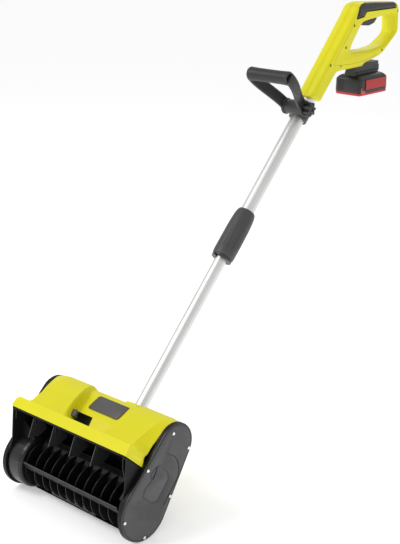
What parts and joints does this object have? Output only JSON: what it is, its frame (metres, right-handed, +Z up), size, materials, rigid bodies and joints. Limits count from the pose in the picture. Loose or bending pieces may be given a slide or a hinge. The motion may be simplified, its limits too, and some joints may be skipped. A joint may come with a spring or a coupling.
{
  "type": "snow blower",
  "caption": "Cordless snow blower: powered rotor head with steerable vanes on a telescopic pole, loop grip, rear trigger handle and slide-out battery.",
  "frame": {"origin": "centre of the scraper blade's flat underside, on the ground, midway between the end plates", "axes": "+Z up; the snow is thrown towards -Y and the pole rises towards +Y; +X is the belt-cover side"},
  "size_m": [0.3763, 1.143, 0.99],
  "materials": {
    "yellow_shell": "satin moulded",
    "black_plastic": "fine texture",
    "dark_grey_plastic": "fine texture",
    "tube_aluminium": "satin",
    "steel": "brushed",
    "screw_steel": "bright",
    "rubber": "matte",
    "battery_black": "satin",
    "battery_red": "satin",
    "label_grey": "printed",
    "motor_can": "satin"
  },
  "bodies": {
    "head": {"hood_cover": "yellow_shell", "hood_insert_plate": "dark_grey_plastic", "scoop_housing": "black_plastic", "scraper_blade": "steel", "right_end_housing": "black_plastic", "right_belt_cover": "dark_grey_plastic", "cover_screw_1": "screw_steel", "cover_screw_2": "screw_steel", "cover_screw_3": "screw_steel", "cover_screw_4": "screw_steel", "cover_screw_5": "screw_steel", "cover_screw_6": "screw_steel", "left_drum_housing": "black_plastic", "left_end_housing": "black_plastic", "left_side_plate": "black_plastic", "left_bearing": "steel", "right_bearing": "steel", "drive_motor": "motor_can", "motor_bracket": "black_plastic", "drive_belt": "rubber", "pole_socket": "yellow_shell", "tube_socket_block": "black_plastic", "lower_tube": "tube_aluminium", "power_lead": "rubber"},
    "rotor": {"rotor_body": "black_plastic", "rotor_shaft": "steel", "rotor_pulley": "black_plastic"},
    "motor_rotor": {"motor_shaft": "steel", "motor_pulley": "steel"},
    "steer_vane_1": {"vane_1": "black_plastic"},
    "steer_vane_2": {"vane_2": "black_plastic"},
    "steer_vane_3": {"vane_3": "black_plastic"},
    "steer_vane_4": {"vane_4": "black_plastic"},
    "link": {"vane_link_bar": "black_plastic"},
    "lever": {"deflector_lever": "dark_grey_plastic"},
    "upper_pole": {"upper_tube": "tube_aluminium", "sleeve_end_ring": "dark_grey_plastic", "handle_shell_left": "yellow_shell", "handle_shell_right": "yellow_shell", "grip_overmould": "dark_grey_plastic", "switch_module": "black_plastic", "battery_dock": "black_plastic", "handle_screw_1": "screw_steel", "handle_screw_2": "screw_steel", "handle_screw_3": "screw_steel", "handle_screw_4": "screw_steel", "handle_screw_5": "screw_steel", "handle_screw_6": "screw_steel"},
    "sleeve": {"lock_sleeve": "dark_grey_plastic"},
    "clamp": {"grip_clamp": "dark_grey_plastic", "clamp_bolt": "screw_steel"},
    "loop": {"loop_grip_frame": "dark_grey_plastic"},
    "knob": {"clamp_knob": "dark_grey_plastic"},
    "throttle": {"trigger": "black_plastic"},
    "lock_off": {"lock_off_button": "black_plastic"},
    "battery": {"battery_case": "battery_black", "battery_base": "battery_red", "battery_label": "label_grey"},
    "release": {"battery_release": "dark_grey_plastic"}
  },
  "joints": [
    {"name": "rotor_spin", "type": "hinge", "parent": "head", "child": "rotor", "pos_m": [0, -0.015, 0.065], "axis": [1, 0, 0], "continuous": true},
    {"name": "motor_spin", "type": "hinge", "parent": "head", "child": "motor_rotor", "pos_m": [0, 0.077, 0.174], "axis": [1, 0, 0], "continuous": true},
    {"name": "lever_turn", "type": "hinge", "parent": "head", "child": "lever", "pos_m": [-0.044, -0.01287, 0.184], "axis": [0, 0, 1], "range_deg": [-56, 0]},
    {"name": "link_slide", "type": "slide", "parent": "head", "child": "link", "axis": [1, 0, 0], "range_m": [-0.0077, 0]},
    {"name": "vane_turn_1", "type": "hinge", "parent": "head", "child": "steer_vane_1", "pos_m": [-0.131, -0.027, 0.17], "axis": [0, 0, 1], "range_deg": [0, 56.5]},
    {"name": "vane_turn_2", "type": "hinge", "parent": "head", "child": "steer_vane_2", "pos_m": [-0.066, -0.027, 0.17], "axis": [0, 0, 1], "range_deg": [0, 56.5]},
    {"name": "vane_turn_3", "type": "hinge", "parent": "head", "child": "steer_vane_3", "pos_m": [-0.001, -0.027, 0.17], "axis": [0, 0, 1], "range_deg": [0, 56.5]},
    {"name": "vane_turn_4", "type": "hinge", "parent": "head", "child": "steer_vane_4", "pos_m": [0.064, -0.027, 0.17], "axis": [0, 0, 1], "range_deg": [0, 56.5]},
    {"name": "pole_telescope", "type": "slide", "parent": "head", "child": "upper_pole", "axis": [0, 0.6873, 0.7263], "range_m": [-0.15, 0.03]},
    {"name": "sleeve_twist", "type": "hinge", "parent": "upper_pole", "child": "sleeve", "pos_m": [0, 0.46731, 0.50261], "axis": [0, 0.6873, 0.7263], "range_deg": [0, 60]},
    {"name": "clamp_slide", "type": "slide", "parent": "upper_pole", "child": "clamp", "axis": [0, 0.6873, 0.7263], "range_m": [-0.24, 0.01]},
    {"name": "loop_tilt", "type": "hinge", "parent": "clamp", "child": "loop", "pos_m": [0, 0.68006, 0.76525], "axis": [1, 0, 0], "range_deg": [-50, 60]},
    {"name": "knob_spin", "type": "hinge", "parent": "clamp", "child": "knob", "pos_m": [0, 0.68006, 0.76525], "axis": [1, 0, 0], "continuous": true},
    {"name": "trigger_pull", "type": "hinge", "parent": "upper_pole", "child": "throttle", "pos_m": [0, 0.923, 0.9495], "axis": [1, 0, 0], "range_deg": [0, 6], "stiffness_Nm_per_rad": 2, "springref_deg": -2.86},
    {"name": "lock_off_press", "type": "slide", "parent": "upper_pole", "child": "lock_off", "axis": [-1, 0, 0], "range_m": [0, 0.0035], "stiffness_N_per_m": 600, "springref_m": -0.002},
    {"name": "battery_slide", "type": "slide", "parent": "upper_pole", "child": "battery", "axis": [0, 1, 0], "range_m": [0, 0.11]},
    {"name": "release_press", "type": "slide", "parent": "battery", "child": "release", "axis": [0, -1, 0], "range_m": [0, 0.003], "stiffness_N_per_m": 800, "springref_m": -0.002}
  ],
  "couplings": [
    {"joint": "motor_spin", "follows": "rotor_spin", "ratio": 3},
    {"joint": "link_slide", "follows": "lever_turn", "m_per_rad": 0.00768},
    {"joint": "vane_turn_1", "follows": "lever_turn", "ratio": -1},
    {"joint": "vane_turn_2", "follows": "lever_turn", "ratio": -1},
    {"joint": "vane_turn_3", "follows": "lever_turn", "ratio": -1},
    {"joint": "vane_turn_4", "follows": "lever_turn", "ratio": -1}
  ]
}
